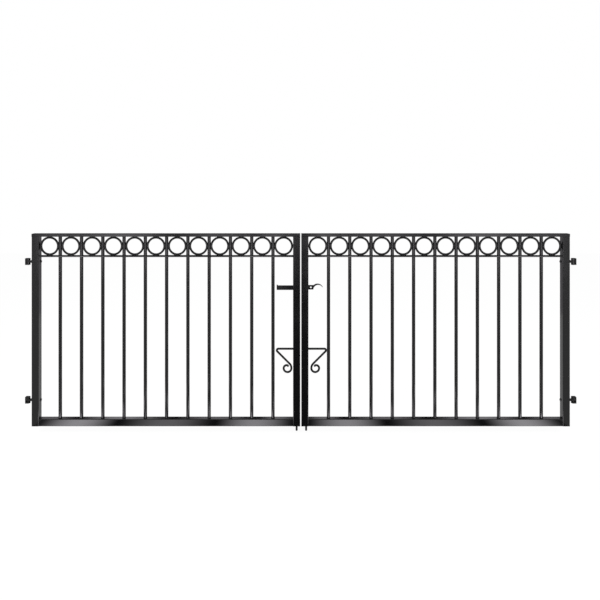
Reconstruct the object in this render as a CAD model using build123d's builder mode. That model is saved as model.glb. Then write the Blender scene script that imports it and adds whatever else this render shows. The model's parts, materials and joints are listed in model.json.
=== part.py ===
# Double-leaf metal driveway gate with a row of rings under its top rail.
# Origin: centre of the flat back face of the lower left hinge bracket, where it meets its post.
# +X runs along the gate's width, +Y away from the viewer, the way the leaves open, +Z up.
# Sizes are in millimetres, and angles in degrees.
import os

from build123d import *

# Leaf frame
leaf_height = 900.0
leaf_gap = 5.0
box_size = 33.5
box_wall = 2.0
box_corner = 2.5
cap_depth = 14.0
cap_clearance = 0.1
top_rail_thickness = 14.0
ring_rail_thickness = 6.0
flat_corner = 1.0

# Bars and rings
bar_count = 11
bar_diameter = 16.0
bar_pitch = 100.0
bar_clearance = 0.25
ring_diameter = 89.0
ring_rod = 10.0
cope_clearance = 0.1

# Hinges
hinge_gap = 37.5
lower_hinge_height = 115.5
upper_hinge_drop = 132.5
pin_distance = 12.4
pin_setback = 8.0
pin_diameter = 8.0
pin_proud = 1.0
pin_chamfer = 0.6
press_clearance = 0.05
running_clearance = 0.1
bracket_height = 31.0
bracket_plate = 4.0
ear_radius = 9.0
ear_fillet = 1.5
eye_radius = 6.8
eye_height = 15.0
eye_clearance = 0.3
neck_diameter = 13.0
neck_clearance = 0.1
neck_proud = 3.0
neck_chamfer = 1.0

# Drop bolts with scroll handles
bolt_diameter = 10.0
left_bolt_inset = 17.0
right_bolt_inset = 23.0
bolt_drop = 38.0
bolt_tip_fillet = 4.0
arm_height = 351.0
elbow_radius = 11.0
handle_reach = 94.0
hairpin_radius = 7.3
brace_length = 82.0
brace_angle = 45.0
scroll_radii = (31.0, 18.4, 14.4, 7.0)
scroll_turns = (45.0, 180.0, 90.0, 55.0)
scroll_end = 5.0
guide_radius = 9.0
guide_height = 30.0
lower_guide_height = 66.0
upper_guide_height = 296.0
guide_clearance = 0.4

# Latch bar, its guide, and the keeper with its curled tail
latch_height = 642.0
latch_bar_height = 21.0
latch_bar_thickness = 5.0
latch_bar_length = 112.0
latch_grip = 24.0
latch_bend = 2.5
latch_stroke = 62.0
latch_tip_chamfer = 2.0
latch_clearance = 0.4
keeper_clearance = 1.0
staple_width = 24.0
staple_strap = 4.0
staple_foot = 9.0
staple_fillet = 3.0
tail_thickness = 5.0
tail_plate_reach = 24.0
tail_shoulder = 25.0
tail_span = 43.0
tail_rise = 17.2
tail_width = 5.7
tail_tip_width = 2.0
tail_peak_share = 0.51
padlock_hole_reach = 12.0
padlock_hole_diameter = 8.0

# Places worked out from the sizes above, in the part's frame
clear_width = bar_count * bar_pitch + ring_diameter
leaf_width = clear_width + 2 * box_size
opening_width = 2 * (hinge_gap + leaf_width) + leaf_gap
meeting_edge = hinge_gap + leaf_width
leaf_middle_y = -pin_setback
leaf_back_y = leaf_middle_y + box_size / 2
leaf_bottom = -lower_hinge_height
upper_hinge_height = leaf_height - upper_hinge_drop
hinge_levels = {"lower": lower_hinge_height, "upper": upper_hinge_height}
top_rail_bottom = leaf_bottom + leaf_height - top_rail_thickness
ring_middle = top_rail_bottom - ring_diameter / 2
ring_rail_top = top_rail_bottom - ring_diameter
ring_rail_bottom = ring_rail_top - ring_rail_thickness
bar_foot = leaf_bottom + box_size
first_ring = hinge_gap + box_size + ring_diameter / 2
first_bar = first_ring + bar_pitch / 2
bolt_middle_y = leaf_back_y + guide_radius
latch_middle = leaf_bottom + latch_height
latch_bar_front = leaf_back_y + latch_clearance
keeper_depth = latch_clearance + latch_bar_thickness + keeper_clearance + staple_strap

os.makedirs("parts", exist_ok=True)


def save(piece, name):
    """Label a finished piece and write it under that name."""
    piece.part.label = name
    export_step(piece.part, f"parts/{name}.step")


def across(side, distance):
    """X of a place that lies the given distance from one side's post."""
    return distance if side == "left" else opening_width - distance


def lowest_x(side, near, far):
    """Lower X of a piece that runs from near to far, as distances from the post."""
    return min(across(side, near), across(side, far))


def make_box_tube(section_plane, length):
    """Square tube with rounded corners, extruded from its section's plane."""
    with BuildPart() as tube:
        with BuildSketch(section_plane):
            RectangleRounded(box_size, box_size, box_corner)
            bore = box_size - 2 * box_wall
            Rectangle(bore, bore, mode=Mode.SUBTRACT)
        extrude(amount=length)
    return tube


def make_flat_rail(side, near, far, bottom, thickness):
    """Flat bar with eased edges, lying along the leaf."""
    start = (lowest_x(side, near, far), leaf_middle_y, bottom + thickness / 2)
    with BuildPart() as rail:
        with BuildSketch(Plane(origin=start, x_dir=(0, 1, 0), z_dir=(1, 0, 0))):
            RectangleRounded(box_size, thickness, flat_corner)
        extrude(amount=far - near)
    return rail


def draw_lug(back, middle, radius):
    """Face with a flat back, straight sides and a round end about its middle."""
    ahead = (middle - back).normalized() * radius
    aside = ahead.rotate(Axis.Z, 90)
    with BuildLine() as outline:
        Line(back - aside, middle - aside)
        ThreePointArc(middle - aside, middle + ahead, middle + aside)
        Polyline(middle + aside, back + aside, back - aside)
    make_face(outline.edges())


def make_staple(side, slot_clearance):
    """Bridge over the latch bar on the back of a meeting stile, open along X."""
    slot_height = latch_bar_height + 2 * slot_clearance
    slot_depth = latch_clearance + latch_bar_thickness + slot_clearance
    depth = slot_depth + staple_strap
    height = slot_height + 2 * staple_foot
    middle = meeting_edge - box_size / 2
    start = lowest_x(side, middle - staple_width / 2, middle + staple_width / 2)
    with BuildPart() as staple:
        with BuildSketch(Plane.YZ.offset(start)) as section:
            with Locations((leaf_back_y + depth / 2, latch_middle)):
                Rectangle(depth, height)
            fillet(section.vertices().group_by(Axis.Y)[-1], staple_fillet)
            with Locations((leaf_back_y + slot_depth / 2, latch_middle)):
                Rectangle(slot_depth, slot_height, mode=Mode.SUBTRACT)
        extrude(amount=staple_width)
    return staple


# Hinge brackets on the posts, each a back plate with two ears, and their pins
for side in ("left", "right"):
    pin_x = across(side, pin_distance)
    for level, height in hinge_levels.items():
        hinge_z = leaf_bottom + height
        slot_height = eye_height + 2 * eye_clearance
        slot_length = pin_distance + ear_radius - bracket_plate
        with BuildPart() as bracket:
            with BuildSketch(Plane.XY.offset(hinge_z - bracket_height / 2)):
                draw_lug(Vector(across(side, 0), 0), Vector(pin_x, 0), ear_radius)
            extrude(amount=bracket_height)
            rims = bracket.faces().filter_by(Axis.Z).edges()
            fillet(rims - rims.filter_by(Axis.Y), ear_fillet)
            with BuildSketch(Plane.XY.offset(hinge_z - slot_height / 2)):
                with Locations((across(side, bracket_plate + slot_length / 2), 0)):
                    Rectangle(slot_length, 2 * ear_radius)
            extrude(amount=slot_height, mode=Mode.SUBTRACT)
            with BuildSketch(Plane.XY.offset(hinge_z - bracket_height / 2)):
                with Locations((pin_x, 0)):
                    Circle(pin_diameter / 2 + press_clearance)
            extrude(amount=bracket_height, mode=Mode.SUBTRACT)
        save(bracket, f"{side}_{level}_hinge_bracket")

        with BuildPart() as pin:
            with BuildSketch(Plane.XY.offset(hinge_z - bracket_height / 2 - pin_proud)):
                with Locations((pin_x, 0)):
                    Circle(pin_diameter / 2)
            extrude(amount=bracket_height + 2 * pin_proud)
            chamfer(pin.edges().filter_by(GeomType.CIRCLE), pin_chamfer)
        save(pin, f"{side}_{level}_hinge_pin")

        with BuildPart() as eye:
            neck_end = hinge_gap + box_size + neck_proud
            with BuildSketch(Plane.YZ.offset(lowest_x(side, pin_distance, neck_end))):
                with Locations((0, hinge_z)):
                    Circle(neck_diameter / 2)
            extrude(amount=neck_end - pin_distance)
            end_face = eye.faces().sort_by_distance((across(side, neck_end), 0, hinge_z))[0]
            chamfer(end_face.edges(), neck_chamfer)
            with BuildSketch(Plane.XY.offset(hinge_z - eye_height / 2)):
                with Locations((pin_x, 0)):
                    Circle(eye_radius)
            extrude(amount=eye_height)
            with BuildSketch(Plane.XY.offset(hinge_z - eye_height / 2)):
                with Locations((pin_x, 0)):
                    Circle(pin_diameter / 2 + running_clearance)
            extrude(amount=eye_height, mode=Mode.SUBTRACT)
        save(eye, f"{side}_{level}_hinge_eye")


# Leaf frames, bars and rings
for side in ("left", "right"):
    stile_middles = {
        "hinge": across(side, hinge_gap + box_size / 2),
        "meeting": across(side, meeting_edge - box_size / 2),
    }
    clear_start = hinge_gap + box_size
    clear_end = meeting_edge - box_size
    bar_places = [
        (across(side, first_bar + number * bar_pitch), leaf_middle_y) for number in range(bar_count)
    ]
    ring_places = [
        (across(side, first_ring + number * bar_pitch), leaf_middle_y, ring_middle)
        for number in range(bar_count + 1)
    ]

    stile_height = leaf_height - top_rail_thickness
    meeting_foot = Plane((stile_middles["meeting"], leaf_middle_y, leaf_bottom))
    save(make_box_tube(meeting_foot, stile_height), f"{side}_meeting_stile")

    plain_stile = make_box_tube(Plane((stile_middles["hinge"], leaf_middle_y, leaf_bottom)), stile_height)
    with BuildPart() as hinge_stile:
        add(plain_stile.part)
        with BuildSketch(Plane.YZ.offset(lowest_x(side, hinge_gap, clear_start))):
            with Locations(*[(0, leaf_bottom + height) for height in hinge_levels.values()]):
                Circle(neck_diameter / 2 + neck_clearance)
        extrude(amount=box_size, mode=Mode.SUBTRACT)
    save(hinge_stile, f"{side}_hinge_stile")

    with BuildPart() as stile_caps:
        cap_size = box_size - 2 * box_wall - 2 * cap_clearance
        with BuildSketch(Plane.XY.offset(leaf_bottom)):
            with Locations(*[(stile_x, leaf_middle_y) for stile_x in stile_middles.values()]):
                Rectangle(cap_size, cap_size)
        extrude(amount=cap_depth)
    save(stile_caps, f"{side}_stile_caps")

    rail_start = (lowest_x(side, clear_start, clear_end), leaf_middle_y, leaf_bottom + box_size / 2)
    rail_plane = Plane(origin=rail_start, x_dir=(0, 1, 0), z_dir=(1, 0, 0))
    save(make_box_tube(rail_plane, clear_width), f"{side}_bottom_rail")

    top_rail = make_flat_rail(side, hinge_gap, meeting_edge, top_rail_bottom, top_rail_thickness)
    save(top_rail, f"{side}_top_rail")

    plain_rail = make_flat_rail(side, clear_start, clear_end, ring_rail_bottom, ring_rail_thickness)
    with BuildPart() as ring_rail:
        add(plain_rail.part)
        with BuildSketch(Plane.XY.offset(ring_rail_bottom)):
            with Locations(*bar_places):
                Circle(bar_diameter / 2 + bar_clearance)
        extrude(amount=ring_rail_thickness, mode=Mode.SUBTRACT)
    save(ring_rail, f"{side}_ring_rail")

    with BuildPart() as bars:
        with BuildSketch(Plane.XY.offset(bar_foot)):
            with Locations(*bar_places):
                Circle(bar_diameter / 2)
        extrude(amount=top_rail_bottom - bar_foot)
    save(bars, f"{side}_bars")

    with BuildPart() as rings:
        with Locations(*ring_places):
            Torus((ring_diameter - ring_rod) / 2, ring_rod / 2, rotation=(90, 0, 0))
        with BuildSketch(Plane.XY.offset(ring_rail_top)):
            with Locations(*bar_places):
                Circle(bar_diameter / 2 + cope_clearance)
        extrude(amount=ring_diameter, mode=Mode.SUBTRACT)
    save(rings, f"{side}_rings")


# Drop bolts: one bent rod each, in two guides on the back of the meeting stile
for side, turn, inset in (("left", 1, left_bolt_inset), ("right", -1, right_bolt_inset)):
    bolt_x = across(side, meeting_edge - inset)
    arm_z = leaf_bottom + arm_height

    with BuildPart() as guides:
        for height in (lower_guide_height, upper_guide_height):
            with BuildSketch(Plane.XY.offset(leaf_bottom + height)):
                draw_lug(Vector(bolt_x, leaf_back_y), Vector(bolt_x, bolt_middle_y), guide_radius)
                with Locations((bolt_x, bolt_middle_y)):
                    Circle(bolt_diameter / 2 + guide_clearance, mode=Mode.SUBTRACT)
            extrude(amount=guide_height)
    save(guides, f"{side}_bolt_guides")

    with BuildPart() as drop_bolt:
        with BuildLine(Plane.XZ.offset(-bolt_middle_y)) as route:
            shank = Line((bolt_x, leaf_bottom - bolt_drop), (bolt_x, arm_z - elbow_radius))
            elbow = JernArc(shank @ 1, shank % 1, elbow_radius, turn * 90)
            arm_length = handle_reach - elbow_radius - hairpin_radius
            arm = Line(elbow @ 1, elbow @ 1 + (elbow % 1) * arm_length)
            hairpin = JernArc(arm @ 1, arm % 1, hairpin_radius, turn * (180 - brace_angle))
            brace = Line(hairpin @ 1, hairpin @ 1 + (hairpin % 1) * brace_length)
            last = brace
            for radius, angle in zip(scroll_radii, scroll_turns):
                last = JernArc(last @ 1, last % 1, radius, -turn * angle)
            Line(last @ 1, last @ 1 + (last % 1) * scroll_end)
        with BuildSketch(Plane(origin=shank @ 0, z_dir=shank % 0)):
            Circle(bolt_diameter / 2)
        sweep()
        rod_ends = drop_bolt.faces().filter_by(GeomType.PLANE)
        fillet(rod_ends.edges(), bolt_tip_fillet)
    save(drop_bolt, f"{side}_drop_bolt")


# Latch bar of the left leaf, drawn back behind its own stile, with its end bent into a grip
save(make_staple("left", latch_clearance), "latch_guide")

with BuildPart() as latch_bar:
    tip_x = across("left", meeting_edge)
    end_x = tip_x - latch_bar_length
    bar_back = latch_bar_front + latch_bar_thickness
    with BuildSketch(Plane.XY.offset(latch_middle - latch_bar_height / 2)) as bar_plan:
        with BuildLine():
            Polyline(
                (tip_x, latch_bar_front),
                (end_x, latch_bar_front),
                (end_x, latch_bar_front + latch_grip),
                (end_x + latch_bar_thickness, latch_bar_front + latch_grip),
                (end_x + latch_bar_thickness, bar_back),
                (tip_x, bar_back),
                close=True,
            )
        make_face()
        outer_corner = bar_plan.vertices().sort_by_distance((end_x, latch_bar_front))[0]
        fillet(outer_corner, latch_bend + latch_bar_thickness)
        inner_corner = bar_plan.vertices().sort_by_distance((end_x + latch_bar_thickness, bar_back))[0]
        fillet(inner_corner, latch_bend)
    extrude(amount=latch_bar_height)
    tip_face = latch_bar.faces().sort_by(Axis.X)[-1]
    chamfer(tip_face.edges().filter_by(Axis.Y), latch_tip_chamfer)
    hole_x = across("right", meeting_edge - box_size - padlock_hole_reach) - latch_stroke
    with BuildSketch(Plane.XZ.offset(-latch_bar_front)):
        with Locations((hole_x, latch_middle)):
            Circle(padlock_hole_diameter / 2)
    extrude(amount=-latch_bar_thickness, mode=Mode.SUBTRACT)
save(latch_bar, "latch_bar")


# Keeper of the right leaf, with the padlock plate and curled tail on its back
save(make_staple("right", keeper_clearance), "latch_keeper")

with BuildPart() as latch_tail:
    stile_edge = across("right", meeting_edge - box_size)
    plate_start = stile_edge - box_size / 2 - staple_width / 2
    plate_end = stile_edge + tail_plate_reach
    plate_top = latch_middle + latch_bar_height / 2
    plate_bottom = latch_middle - latch_bar_height / 2
    tip = (plate_end + tail_span, latch_middle)
    peak_x = plate_end + tail_span * tail_peak_share
    with BuildSketch(Plane.XZ.offset(-leaf_back_y - keeper_depth)):
        with BuildLine():
            ThreePointArc(
                (plate_end, plate_bottom),
                (peak_x, latch_middle + tail_rise - tail_width),
                tip,
            )
            Line(tip, (tip[0] + tail_tip_width, latch_middle))
            ThreePointArc(
                (tip[0] + tail_tip_width, latch_middle),
                (peak_x, latch_middle + tail_rise),
                (stile_edge + tail_shoulder, plate_top),
            )
            Polyline(
                (stile_edge + tail_shoulder, plate_top),
                (plate_start, plate_top),
                (plate_start, plate_bottom),
                (plate_end, plate_bottom),
            )
        make_face()
        with Locations((stile_edge + padlock_hole_reach, latch_middle)):
            Circle(padlock_hole_diameter / 2, mode=Mode.SUBTRACT)
    extrude(amount=-tail_thickness)
save(latch_tail, "latch_tail")
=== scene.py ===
# Looks of a double-leaf metal driveway gate: black paint, weld beads, studio and camera.
# Metres throughout, in the same frame as the solids:
# +X along the gate, +Y away from the viewer, +Z up.
import json
import math

import bmesh
import bpy
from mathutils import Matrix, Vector, noise


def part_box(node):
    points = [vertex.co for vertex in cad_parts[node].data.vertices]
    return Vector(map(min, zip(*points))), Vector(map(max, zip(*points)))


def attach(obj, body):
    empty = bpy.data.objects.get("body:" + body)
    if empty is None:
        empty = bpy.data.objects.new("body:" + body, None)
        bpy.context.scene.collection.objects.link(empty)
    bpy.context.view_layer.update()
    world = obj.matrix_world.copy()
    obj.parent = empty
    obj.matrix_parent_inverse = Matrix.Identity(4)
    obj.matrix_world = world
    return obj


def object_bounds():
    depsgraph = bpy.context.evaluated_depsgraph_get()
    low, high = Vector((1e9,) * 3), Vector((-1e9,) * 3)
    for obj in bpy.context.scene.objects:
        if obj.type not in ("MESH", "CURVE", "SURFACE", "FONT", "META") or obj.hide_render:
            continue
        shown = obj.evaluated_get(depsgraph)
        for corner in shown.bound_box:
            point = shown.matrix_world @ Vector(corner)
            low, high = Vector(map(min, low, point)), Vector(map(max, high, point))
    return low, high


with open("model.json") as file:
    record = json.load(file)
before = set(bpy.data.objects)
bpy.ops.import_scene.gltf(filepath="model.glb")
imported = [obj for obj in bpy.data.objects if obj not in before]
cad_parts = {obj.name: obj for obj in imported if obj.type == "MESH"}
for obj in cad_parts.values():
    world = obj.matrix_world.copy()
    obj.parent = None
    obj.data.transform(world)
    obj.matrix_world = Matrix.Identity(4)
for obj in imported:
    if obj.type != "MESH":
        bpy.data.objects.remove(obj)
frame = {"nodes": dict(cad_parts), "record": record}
cad_low, cad_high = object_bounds()

# Photograph's frame, in pixels and in metres at the front of the leaves
PHOTO_SIZE = 600
PHOTO_MIDDLE = 300.0
GATE_MIDDLE_PIXEL = 300.75
HORIZON_PIXEL = 183.0
METRES_PER_PIXEL = 0.004673
CAMERA_DISTANCE = 2.72
CAMERA_HEIGHT = 1.1375
SENSOR = 36.0

# Materials: colours, roughness, and the noise and bump that make them uneven
NOISE_MIDDLE = (0.3, 0.7)
PAINT_DARK = (0.003, 0.003, 0.0033, 1.0)
PAINT_LIGHT = (0.005, 0.005, 0.0054, 1.0)
PAINT_ROUGHNESS = (0.1, 0.15)
PAINT_IOR = 1.33
PATCH_SCALE, PATCH_DETAIL = 9.0, 3.0
PEEL_SCALE, PEEL_DETAIL = 420.0, 2.0
PEEL_STRENGTH, PEEL_DEPTH = 0.02, 0.0006
STEEL_DARK = (0.03, 0.03, 0.032, 1.0)
STEEL_LIGHT = (0.07, 0.068, 0.066, 1.0)
STEEL_ROUGHNESS = (0.3, 0.45)
BRUSH_STRETCH = (30.0, 30.0, 900.0)
BRUSH_SCALE, BRUSH_DETAIL = 1.0, 3.0
BRUSH_STRENGTH, BRUSH_DEPTH = 0.12, 0.0004
PLASTIC_DARK = (0.012, 0.012, 0.012, 1.0)
PLASTIC_LIGHT = (0.022, 0.022, 0.022, 1.0)
PLASTIC_ROUGHNESS = (0.5, 0.65)
GRAIN_SCALE, GRAIN_DETAIL = 1500.0, 2.0
GRAIN_STRENGTH, GRAIN_DEPTH = 0.2, 0.0003

# Floor, world and lamps
FLOOR_SIZE = 14.0
FLOOR_DROP = 0.002
FLOOR_LEVEL = 0.9
FLOOR_GLOW = 1.035
FLOOR_GLOW_SHARE = 0.9
WORLD_FILL = 0.6
WORLD_WHITE = 1.0
LAMP_TARGET_HEIGHT = 0.45
LAMP_SIZE = (3.0, 2.0)
KEY_LAMP_OFFSET, KEY_LAMP_POWER = (-2.2, -3.0, 3.0), 120.0
FILL_LAMP_OFFSET, FILL_LAMP_POWER = (2.6, -2.6, 1.8), 60.0

# Painted reflections: glowing strips round the gate, brightest along their middle, and dark
# cards, all seen by reflections only and lighting nothing: depths run forwards from the gate's
# front, heights up from the floor, and widths from the gate's middle line
WALL_DEPTHS = (4.5, 4.5)
POST_DEPTHS = (4.52, 4.52)
BACK_DEPTHS = (-1.6, -1.6)
NEAR_DEPTHS = (0.05, 0.23)
RUNNER_DEPTHS = (0.05, 4.5)
FLOOR_HEIGHTS = (0.003, 0.003)
RUNNER_HEIGHTS = (0.002, 0.002)
LOW_HEIGHTS = (0.08, 0.4)
HIGH_HEIGHTS = (0.4, 0.8)
POST_HEIGHTS = (0.0, 1.0)
BACK_HEIGHTS = (0.2, 0.93)
BAND_HEIGHTS = (0.93, 1.5)
RUNNER_HALF_WIDTH = 0.17
BAND_HALF_WIDTH = 2.4
# Slight tint of the glowing strips' painted reflections
PAINTED_REFLECTION_TINT = (1.0, 0.97, 1.02)
# Weaker painted reflection from the strips behind the gate
BACK_GAIN = 0.25
# Edges and brightness of the glowing strips that paint the sheen on the bottom rail and the
# ring rail, and of those that paint it on the top rail
RAIL_PAINTED_SHEEN = ((0.03, 0.4, 10.0), (0.4, 0.85, 4.6), (0.85, 1.222, 11.5))
TOP_RAIL_PAINTED_SHEEN = ((0.02, 0.2, 4.5), (0.2, 0.6, 3.6), (0.6, 1.06, 5.6), (1.03, 1.3, 3.0))
# Rows of glowing cards that paint the reflections: name, depths, heights, strips and gain
PAINTED_REFLECTION_ROWS = (
    ("near", NEAR_DEPTHS, FLOOR_HEIGHTS, RAIL_PAINTED_SHEEN, 1.0),
    ("low", WALL_DEPTHS, LOW_HEIGHTS, RAIL_PAINTED_SHEEN, 1.0),
    ("high", WALL_DEPTHS, HIGH_HEIGHTS, TOP_RAIL_PAINTED_SHEEN, 1.0),
    ("back", BACK_DEPTHS, BACK_HEIGHTS, TOP_RAIL_PAINTED_SHEEN, BACK_GAIN),
)

# Weld beads and the rows of bars and rings that they follow
BEAD = 0.0017
BEAD_SECTIONS = 8
BEAD_STEP = 0.0022
BEAD_LEAST_STEPS = 3
BEAD_END_SHARE = 0.35
BEAD_BODY_SHARE = 0.9
RIPPLE_SHARE, RIPPLE_TURN = 0.12, 2.4
LUMP_SHARE, LUMP_SCALE = 0.3, 300
BAR_COUNT = 11
BAR_PITCH = 0.1
BAR_RADIUS = 0.008
RING_ROD_RADIUS = 0.005
RING_BEAD_REACH = 0.006
RING_BEAD_FACE_SHARE = 0.7
NECK_RADIUS = 0.0065
SEAM_INSET = 0.003
GUIDE_HEIGHT = 0.03

# Places of the gate that the studio and the weld beads follow
stile_low, stile_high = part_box("left_hinge_stile")
FRONT_Y = stile_low.y
BACK_Y = stile_high.y
MIDDLE_Y = (FRONT_Y + BACK_Y) / 2
LEAF_FOOT = stile_low.z
GATE_MIDDLE_X = (cad_low.x + cad_high.x) / 2
FLOOR_Z = cad_low.z


def link(obj):
    """Puts a new object into the scene."""
    bpy.context.scene.collection.objects.link(obj)
    return obj


def mesh_object(name, mesh_builder):
    """Turns a filled bmesh into an object of that name."""
    mesh = bpy.data.meshes.new(name)
    mesh_builder.to_mesh(mesh)
    mesh_builder.free()
    return link(bpy.data.objects.new(name, mesh))


# Materials


class Nodes:
    """Short way to add nodes to one material or world and to join their sockets."""

    def __init__(self, owner):
        owner.use_nodes = True
        self.tree = owner.node_tree
        self.tree.nodes.clear()

    def add(self, kind, inputs=None, **settings):
        node = self.tree.nodes.new(kind)
        for key, value in settings.items():
            setattr(node, key, value)
        for key, value in (inputs or {}).items():
            if isinstance(value, bpy.types.NodeSocket):
                self.tree.links.new(value, node.inputs[key])
            else:
                node.inputs[key].default_value = value
        return node


def gray(value):
    """Colour of one level in all channels."""
    return (value, value, value, 1.0)


def noise_value(nodes, place, scale, detail):
    """Noise of a given scale, from the object's own coordinates."""
    texture = nodes.add("ShaderNodeTexNoise", {"Vector": place, "Scale": scale, "Detail": detail})
    return texture.outputs["Fac"]


def spread(nodes, value, low, high):
    """Maps the middle of a noise to a range."""
    noise_low, noise_high = NOISE_MIDDLE
    remap = nodes.add(
        "ShaderNodeMapRange",
        {
            "Value": value, "From Min": noise_low, "From Max": noise_high,
            "To Min": low, "To Max": high,
        },
    )
    return remap.outputs["Result"]


def tint(nodes, value, dark, light):
    """Colour ramp between two colours."""
    mix = nodes.add("ShaderNodeMix", data_type="RGBA")
    nodes.tree.links.new(value, mix.inputs[0])
    mix.inputs[6].default_value = dark
    mix.inputs[7].default_value = light
    return mix.outputs[2]


def make_paint():
    """Gloss black paint with a faint orange peel and slightly uneven gloss."""
    material = bpy.data.materials.new("gloss_black_paint")
    nodes = Nodes(material)
    place = nodes.add("ShaderNodeTexCoord").outputs["Object"]
    patches = noise_value(nodes, place, PATCH_SCALE, PATCH_DETAIL)
    peel = noise_value(nodes, place, PEEL_SCALE, PEEL_DETAIL)
    bump = nodes.add(
        "ShaderNodeBump", {"Height": peel, "Strength": PEEL_STRENGTH, "Distance": PEEL_DEPTH},
    )
    shader = nodes.add(
        "ShaderNodeBsdfPrincipled",
        {
            "Base Color": tint(nodes, patches, PAINT_DARK, PAINT_LIGHT),
            "Roughness": spread(nodes, patches, *PAINT_ROUGHNESS),
            "IOR": PAINT_IOR,
            "Normal": bump.outputs["Normal"],
        },
    )
    nodes.add("ShaderNodeOutputMaterial", {"Surface": shader.outputs["BSDF"]})
    return material


def make_pin_steel():
    """Dark oiled steel, lightly brushed round the pin."""
    material = bpy.data.materials.new("oiled_pin_steel")
    nodes = Nodes(material)
    place = nodes.add("ShaderNodeTexCoord").outputs["Object"]
    stretch = nodes.add("ShaderNodeMapping", {"Vector": place, "Scale": BRUSH_STRETCH})
    brushed = noise_value(nodes, stretch.outputs["Vector"], BRUSH_SCALE, BRUSH_DETAIL)
    bump = nodes.add(
        "ShaderNodeBump", {"Height": brushed, "Strength": BRUSH_STRENGTH, "Distance": BRUSH_DEPTH},
    )
    shader = nodes.add(
        "ShaderNodeBsdfPrincipled",
        {
            "Base Color": tint(nodes, brushed, STEEL_DARK, STEEL_LIGHT),
            "Metallic": 1.0,
            "Roughness": spread(nodes, brushed, *STEEL_ROUGHNESS),
            "Normal": bump.outputs["Normal"],
        },
    )
    nodes.add("ShaderNodeOutputMaterial", {"Surface": shader.outputs["BSDF"]})
    return material


def make_cap_plastic():
    """Matt black moulded plastic with a fine grain."""
    material = bpy.data.materials.new("matt_cap_plastic")
    nodes = Nodes(material)
    place = nodes.add("ShaderNodeTexCoord").outputs["Object"]
    grain = noise_value(nodes, place, GRAIN_SCALE, GRAIN_DETAIL)
    bump = nodes.add(
        "ShaderNodeBump", {"Height": grain, "Strength": GRAIN_STRENGTH, "Distance": GRAIN_DEPTH},
    )
    shader = nodes.add(
        "ShaderNodeBsdfPrincipled",
        {
            "Base Color": tint(nodes, grain, PLASTIC_DARK, PLASTIC_LIGHT),
            "Roughness": spread(nodes, grain, *PLASTIC_ROUGHNESS),
            "Normal": bump.outputs["Normal"],
        },
    )
    nodes.add("ShaderNodeOutputMaterial", {"Surface": shader.outputs["BSDF"]})
    return material


paint = make_paint()
finishes = {"black_paint": paint, "pin_steel": make_pin_steel(), "cap_plastic": make_cap_plastic()}
for subpart in frame["record"]["subparts"]:
    slots = frame["nodes"][subpart["node"]].data.materials
    slots.clear()
    slots.append(finishes[subpart["material_slot"]])


# Weld beads: one mesh a leaf, at the feet of the bars, at the rings and at every seam


def bead_tube(builder, places, frames, closed):
    """Lumpy tube through the places; each frame holds the two directions of its section."""
    loops = []
    for number, (place, (first, second)) in enumerate(zip(places, frames)):
        if not closed and number in (0, len(places) - 1):
            share = BEAD_END_SHARE
        else:
            ripple = RIPPLE_SHARE * math.sin(RIPPLE_TURN * number)
            share = BEAD_BODY_SHARE + ripple + LUMP_SHARE * noise.noise(place * LUMP_SCALE)
        size = BEAD * share
        loop = []
        for section in range(BEAD_SECTIONS):
            turn = math.tau * section / BEAD_SECTIONS
            outward = math.cos(turn) * first + math.sin(turn) * second
            loop.append(builder.verts.new(place + size * outward))
        loops.append(loop)
    pairs = list(zip(loops, loops[1:]))
    if closed:
        pairs.append((loops[-1], loops[0]))
    else:
        builder.faces.new(reversed(loops[0]))
        builder.faces.new(loops[-1])
    for low, high in pairs:
        for section in range(BEAD_SECTIONS):
            after = (section + 1) % BEAD_SECTIONS
            builder.faces.new((low[section], low[after], high[after], high[section]))


def bead_line(builder, start, end):
    """Straight bead from start to end."""
    along = (end - start).normalized()
    first = along.orthogonal().normalized()
    second = along.cross(first)
    count = max(BEAD_LEAST_STEPS, round((end - start).length / BEAD_STEP))
    places = [start.lerp(end, step / count) for step in range(count + 1)]
    bead_tube(builder, places, [(first, second)] * len(places), closed=False)


def bead_ring(builder, middle, axis, radius):
    """Bead right round a bar or a neck that runs along the axis."""
    first = axis.orthogonal().normalized()
    second = axis.cross(first)
    count = round(math.tau * radius / BEAD_STEP)
    turns = [math.tau * step / count for step in range(count)]
    outwards = [math.cos(turn) * first + math.sin(turn) * second for turn in turns]
    places = [middle + radius * outward for outward in outwards]
    bead_tube(builder, places, [(outward, axis) for outward in outwards], closed=True)


def bead_bars(builder, side):
    """Beads round each bar at its foot, at both faces of the ring rail and under the top rail."""
    bars_low, bars_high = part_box(f"{side}_bars")
    rail_low, rail_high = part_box(f"{side}_ring_rail")
    for number in range(BAR_COUNT):
        for height in (bars_low.z, rail_low.z, rail_high.z, bars_high.z):
            middle = Vector((bars_low.x + BAR_RADIUS + number * BAR_PITCH, MIDDLE_Y, height))
            bead_ring(builder, middle, Vector((0, 0, 1)), BAR_RADIUS)


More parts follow.
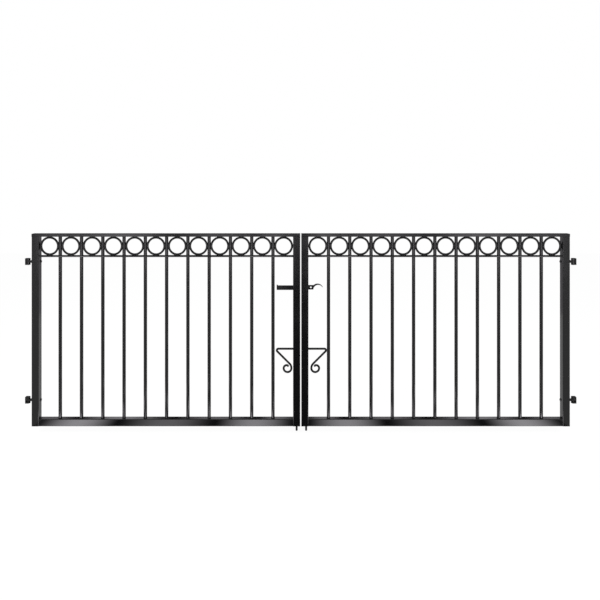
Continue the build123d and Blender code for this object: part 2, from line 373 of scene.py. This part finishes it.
def bead_rings(builder, side):
    """Short beads where each ring touches the rails over and under it and its bars or stiles."""
    rings_low, rings_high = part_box(f"{side}_rings")
    bars_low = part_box(f"{side}_bars")[0]
    reach = RING_BEAD_REACH
    middle_z = (rings_low.z + rings_high.z) / 2
    for number in range(BAR_COUNT + 1):
        x = bars_low.x + BAR_RADIUS + (number - 0.5) * BAR_PITCH
        for face in (-1, 1):
            y = MIDDLE_Y + face * RING_BEAD_FACE_SHARE * RING_ROD_RADIUS
            for z in (rings_low.z, rings_high.z):
                bead_line(builder, Vector((x - reach, y, z)), Vector((x + reach, y, z)))
    nest_x = math.sqrt(BAR_RADIUS**2 - RING_ROD_RADIUS**2)
    nests = [rings_low.x, rings_high.x]
    for number in range(BAR_COUNT):
        x = bars_low.x + BAR_RADIUS + number * BAR_PITCH
        nests += [x - nest_x, x + nest_x]
    for x in nests:
        for face in (-1, 1):
            y = MIDDLE_Y + face * RING_ROD_RADIUS
            bead_line(builder, Vector((x, y, middle_z - reach)), Vector((x, y, middle_z + reach)))


def bead_seams(builder, side):
    """Beads across the rails' ends, and round the hinge necks on both sides of the stile."""
    rail_low, rail_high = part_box(f"{side}_bottom_rail")
    strip_low, strip_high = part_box(f"{side}_ring_rail")
    top_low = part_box(f"{side}_top_rail")[0]
    for x in (rail_low.x, rail_high.x):
        for z in (rail_high.z, strip_low.z, strip_high.z, top_low.z):
            start = Vector((x, FRONT_Y + SEAM_INSET, z))
            bead_line(builder, start, Vector((x, BACK_Y - SEAM_INSET, z)))
    post_low, post_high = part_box(f"{side}_hinge_stile")
    for level in ("lower", "upper"):
        eye_low, eye_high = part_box(f"{side}_{level}_hinge_eye")
        for x in (post_low.x, post_high.x):
            middle = Vector((x, (eye_low.y + eye_high.y) / 2, (eye_low.z + eye_high.z) / 2))
            bead_ring(builder, middle, Vector((1, 0, 0)), NECK_RADIUS)


def bead_fittings(builder, side):
    """Beads beside the bolt guides and along the feet of the latch staple on the stile's back."""
    guides_low, guides_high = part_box(f"{side}_bolt_guides")
    for x in (guides_low.x, guides_high.x):
        for low in (guides_low.z, guides_high.z - GUIDE_HEIGHT):
            start = Vector((x, BACK_Y, low + SEAM_INSET))
            bead_line(builder, start, Vector((x, BACK_Y, low + GUIDE_HEIGHT - SEAM_INSET)))
    staple_low, staple_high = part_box("latch_guide" if side == "left" else "latch_keeper")
    for z in (staple_low.z, staple_high.z):
        start = Vector((staple_low.x + SEAM_INSET, BACK_Y, z))
        bead_line(builder, start, Vector((staple_high.x - SEAM_INSET, BACK_Y, z)))


for side in ("left", "right"):
    builder = bmesh.new()
    bead_bars(builder, side)
    bead_rings(builder, side)
    bead_seams(builder, side)
    bead_fittings(builder, side)
    bmesh.ops.recalc_face_normals(builder, faces=builder.faces)
    beads = mesh_object(f"{side}_weld_beads", builder)
    beads.data.shade_smooth()
    beads.data.materials.append(paint)
    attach(beads, f"{side}_leaf")


# Camera, level and straight on, with the horizon above the gate as in the photograph


def make_camera():
    """Camera of the photograph, its lens shifted so that upright edges stay upright."""
    camera = link(bpy.data.objects.new("camera", bpy.data.cameras.new("camera")))
    camera.data.sensor_width = SENSOR
    camera.data.lens = SENSOR * CAMERA_DISTANCE / (PHOTO_SIZE * METRES_PER_PIXEL)
    camera.data.shift_y = (HORIZON_PIXEL - PHOTO_MIDDLE) / PHOTO_SIZE
    aside = (GATE_MIDDLE_PIXEL - PHOTO_MIDDLE) * METRES_PER_PIXEL
    camera.location = (GATE_MIDDLE_X - aside, FRONT_Y - CAMERA_DISTANCE, LEAF_FOOT + CAMERA_HEIGHT)
    camera.rotation_euler = (math.radians(90), 0, 0)
    bpy.context.scene.camera = camera


make_camera()


# Studio: pale floor, white world, soft lamps, and glowing strips and dark cards that paint the
# reflections


def seen_directly(nodes):
    """1 for camera, glossy and transmission rays, else 0."""
    rays = nodes.add("ShaderNodeLightPath").outputs
    first = nodes.add("ShaderNodeMath", operation="MAXIMUM")
    nodes.tree.links.new(rays["Is Camera Ray"], first.inputs[0])
    nodes.tree.links.new(rays["Is Glossy Ray"], first.inputs[1])
    both = nodes.add("ShaderNodeMath", operation="MAXIMUM")
    nodes.tree.links.new(first.outputs[0], both.inputs[0])
    nodes.tree.links.new(rays["Is Transmission Ray"], both.inputs[1])
    return both.outputs[0]


def make_world():
    """White where it is seen, and weaker where it lights the gate."""
    world = bpy.data.worlds.new("studio")
    bpy.context.scene.world = world
    nodes = Nodes(world)
    fill = nodes.add("ShaderNodeBackground", {"Color": gray(1.0), "Strength": WORLD_FILL})
    white = nodes.add("ShaderNodeBackground", {"Color": gray(1.0), "Strength": WORLD_WHITE})
    mix = nodes.add("ShaderNodeMixShader", {"Fac": seen_directly(nodes)})
    nodes.tree.links.new(fill.outputs[0], mix.inputs[1])
    nodes.tree.links.new(white.outputs[0], mix.inputs[2])
    nodes.add("ShaderNodeOutputWorld", {"Surface": mix.outputs[0]})


def make_floor():
    """Floor that shows white and still takes the gate's shadow."""
    builder = bmesh.new()
    bmesh.ops.create_grid(builder, x_segments=1, y_segments=1, size=FLOOR_SIZE / 2)
    floor = mesh_object("floor", builder)
    floor.location = (GATE_MIDDLE_X, MIDDLE_Y, FLOOR_Z - FLOOR_DROP)
    material = bpy.data.materials.new("pale_floor")
    nodes = Nodes(material)
    plain = nodes.add("ShaderNodeBsdfDiffuse", {"Color": gray(FLOOR_LEVEL)})
    white = nodes.add("ShaderNodeEmission", {"Color": gray(1.0), "Strength": FLOOR_GLOW})
    share = nodes.add(
        "ShaderNodeMath", {0: seen_directly(nodes), 1: FLOOR_GLOW_SHARE}, operation="MULTIPLY",
    )
    mix = nodes.add("ShaderNodeMixShader", {"Fac": share.outputs[0]})
    nodes.tree.links.new(plain.outputs[0], mix.inputs[1])
    nodes.tree.links.new(white.outputs[0], mix.inputs[2])
    nodes.add("ShaderNodeOutputMaterial", {"Surface": mix.outputs[0]})
    floor.data.materials.append(material)


def make_lamp(name, offset, power):
    """Soft lamp beside the gate, aimed at its middle and not seen in the reflections."""
    target = Vector((GATE_MIDDLE_X, MIDDLE_Y, LEAF_FOOT + LAMP_TARGET_HEIGHT))
    place = target + Vector(offset)
    lamp = bpy.data.lights.new(name, "AREA")
    lamp.shape = "RECTANGLE"
    lamp.size, lamp.size_y = LAMP_SIZE
    lamp.energy = power
    obj = link(bpy.data.objects.new(name, lamp))
    obj.location = place
    obj.rotation_mode = "QUATERNION"
    obj.rotation_quaternion = (target - place).to_track_quat("-Z", "Y")
    obj.visible_glossy = False


def make_painted_reflection_material():
    """Painted reflection: glow of each strip's own brightness, strongest along its middle and none
    at its sides.
    """
    material = bpy.data.materials.new("painted_reflection_glow")
    nodes = Nodes(material)
    place = nodes.add("ShaderNodeTexCoord").outputs["Object"]
    aside = nodes.add("ShaderNodeSeparateXYZ", {0: place}).outputs["X"]
    square = nodes.add("ShaderNodeMath", {0: aside, 1: aside}, operation="MULTIPLY").outputs[0]
    rest = nodes.add("ShaderNodeMath", {0: 1.0, 1: square}, operation="SUBTRACT").outputs[0]
    fade = nodes.add("ShaderNodeMath", {0: rest, 1: rest}, operation="MULTIPLY").outputs[0]
    level = nodes.add("ShaderNodeObjectInfo").outputs["Color"]
    glow = nodes.add("ShaderNodeEmission", {"Color": level, "Strength": fade})
    nodes.add("ShaderNodeOutputMaterial", {"Surface": glow.outputs[0]})
    return material


def make_card(name, material, across, depths, heights, level):
    """Flat card that paints a reflection and that only reflections see, lying or standing as its
    depths and heights say.
    """
    builder = bmesh.new()
    bmesh.ops.create_grid(builder, x_segments=1, y_segments=1, size=1.0)
    card = mesh_object(name, builder)
    card.data.materials.append(material)
    card.location = (
        GATE_MIDDLE_X + sum(across) / 2, FRONT_Y - sum(depths) / 2, FLOOR_Z + sum(heights) / 2,
    )
    standing = heights[1] > heights[0]
    low, high = heights if standing else depths
    card.rotation_euler = (math.radians(90 if standing else 0), 0, 0)
    card.scale = ((across[1] - across[0]) / 2, (high - low) / 2, 1.0)
    card.color = level
    card.visible_camera = False
    card.visible_diffuse = False
    card.visible_transmission = False
    card.visible_shadow = False


def make_painted_reflections():
    """Painted reflections: glowing strips that fan out from the gate, and dark cards before the
    meeting stiles and a dark band behind that paint dark reflections.
    """
    glow = make_painted_reflection_material()
    # Glowing strips that paint the sheen reflected on the rails
    for row, depths, heights, strips, gain in PAINTED_REFLECTION_ROWS:
        fan = 1 + abs(sum(depths)) / 2 / CAMERA_DISTANCE
        for number, (inner, outer, level) in enumerate(strips):
            colour = tuple(gain * level * share for share in PAINTED_REFLECTION_TINT) + (1.0,)
            left, right = (-fan * outer, -fan * inner), (fan * inner, fan * outer)
            for side, across in (("left", left), ("right", right)):
                make_card(f"{row}_{side}_strip_{number}", glow, across, depths, heights, colour)
    # Dark cards that paint dark reflections before the meeting stiles and behind the gate
    runner = (-RUNNER_HALF_WIDTH, RUNNER_HALF_WIDTH)
    make_card("dark_runner", glow, runner, RUNNER_DEPTHS, RUNNER_HEIGHTS, gray(0.0))
    make_card("dark_post", glow, runner, POST_DEPTHS, POST_HEIGHTS, gray(0.0))
    band = (-BAND_HALF_WIDTH, BAND_HALF_WIDTH)
    make_card("dark_band", glow, band, BACK_DEPTHS, BAND_HEIGHTS, gray(0.0))


bpy.context.scene.view_settings.view_transform = "Standard"
make_world()
make_floor()
make_painted_reflections()
make_lamp("key_lamp", KEY_LAMP_OFFSET, KEY_LAMP_POWER)
make_lamp("fill_lamp", FILL_LAMP_OFFSET, FILL_LAMP_POWER)
